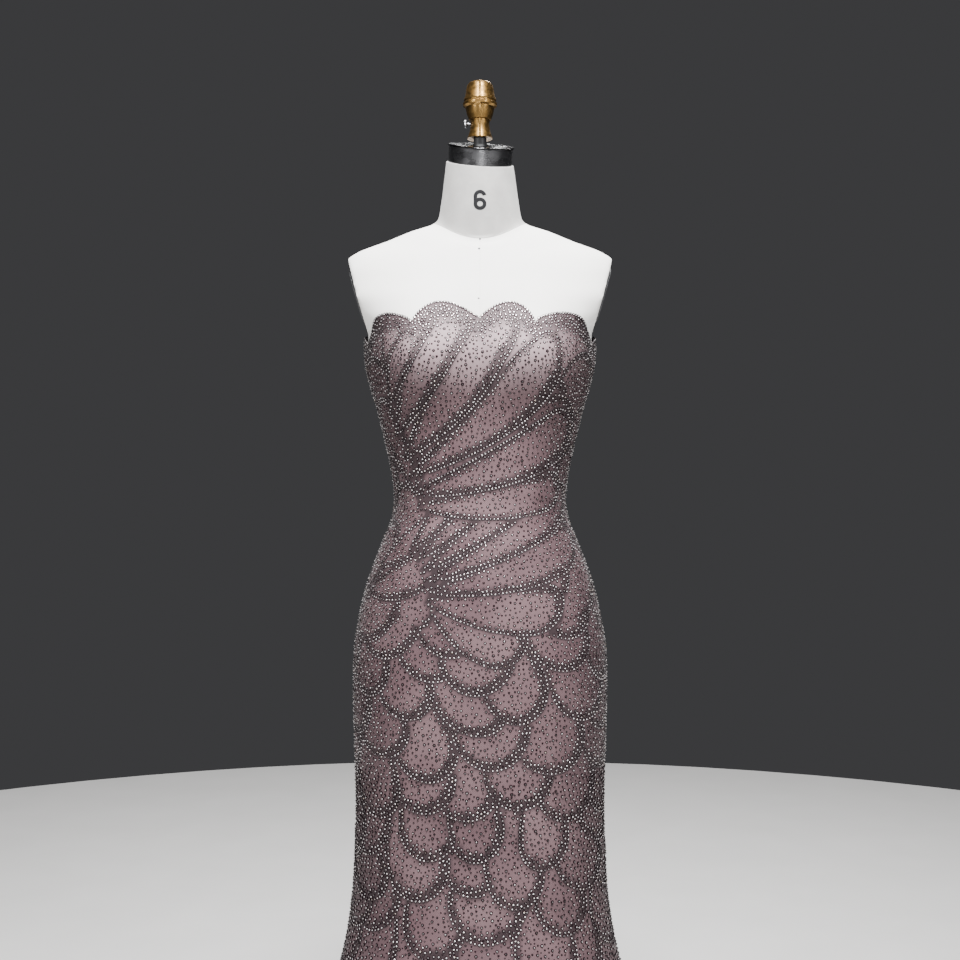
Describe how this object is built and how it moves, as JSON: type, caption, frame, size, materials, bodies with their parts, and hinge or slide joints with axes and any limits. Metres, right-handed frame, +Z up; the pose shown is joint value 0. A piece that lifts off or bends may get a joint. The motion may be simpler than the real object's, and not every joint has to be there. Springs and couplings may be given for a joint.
{
  "type": "beaded mermaid gown on a limbless dress form",
  "caption": "Strapless floor-length mermaid gown with a scalloped neckline and bead-drawn petals, on a limbless dress form with a round base.",
  "frame": {"origin": "middle of the stand's underside, on the rod's axis", "axes": "+Z up along the rod, -Y to the gown's front, +X to the right as the front is looked at"},
  "size_m": [0.8131, 0.745, 1.628],
  "materials": {
    "beaded_cloth": "net over satin, covered in small mauve beads",
    "form_cover": "plain off-white linen, matte",
    "dark_steel": "satin dark grey",
    "bright_steel": "polished",
    "cast_brass": "cast, slightly rough",
    "zip_metal": "satin, mauve tinted"
  },
  "bodies": {
    "gown_on_form": {"gown_front": "beaded_cloth", "gown_back_left": "beaded_cloth", "gown_back_right": "beaded_cloth", "zip_strip": "beaded_cloth", "zip_slider": "zip_metal", "form_body": "form_cover", "arm_plate_left": "dark_steel", "arm_plate_right": "dark_steel", "neck_band": "bright_steel", "neck_lid": "bright_steel", "finial": "cast_brass", "rod": "dark_steel", "stand_base": "dark_steel"},
    "pull": {"zip_pull": "zip_metal"},
    "screw": {"thumb_screw": "bright_steel"}
  },
  "joints": [
    {"name": "zip_pull_swing", "type": "hinge", "parent": "gown_on_form", "child": "pull", "pos_m": [0, 0.11488, 1.23765], "axis": [1, 0, 0], "range_deg": [0, 130]},
    {"name": "thumb_screw_turn", "type": "hinge", "parent": "gown_on_form", "child": "screw", "pos_m": [-0.0148, 0, 1.5705], "axis": [-1, 0, 0], "range_deg": [0, 720]}
  ]
}
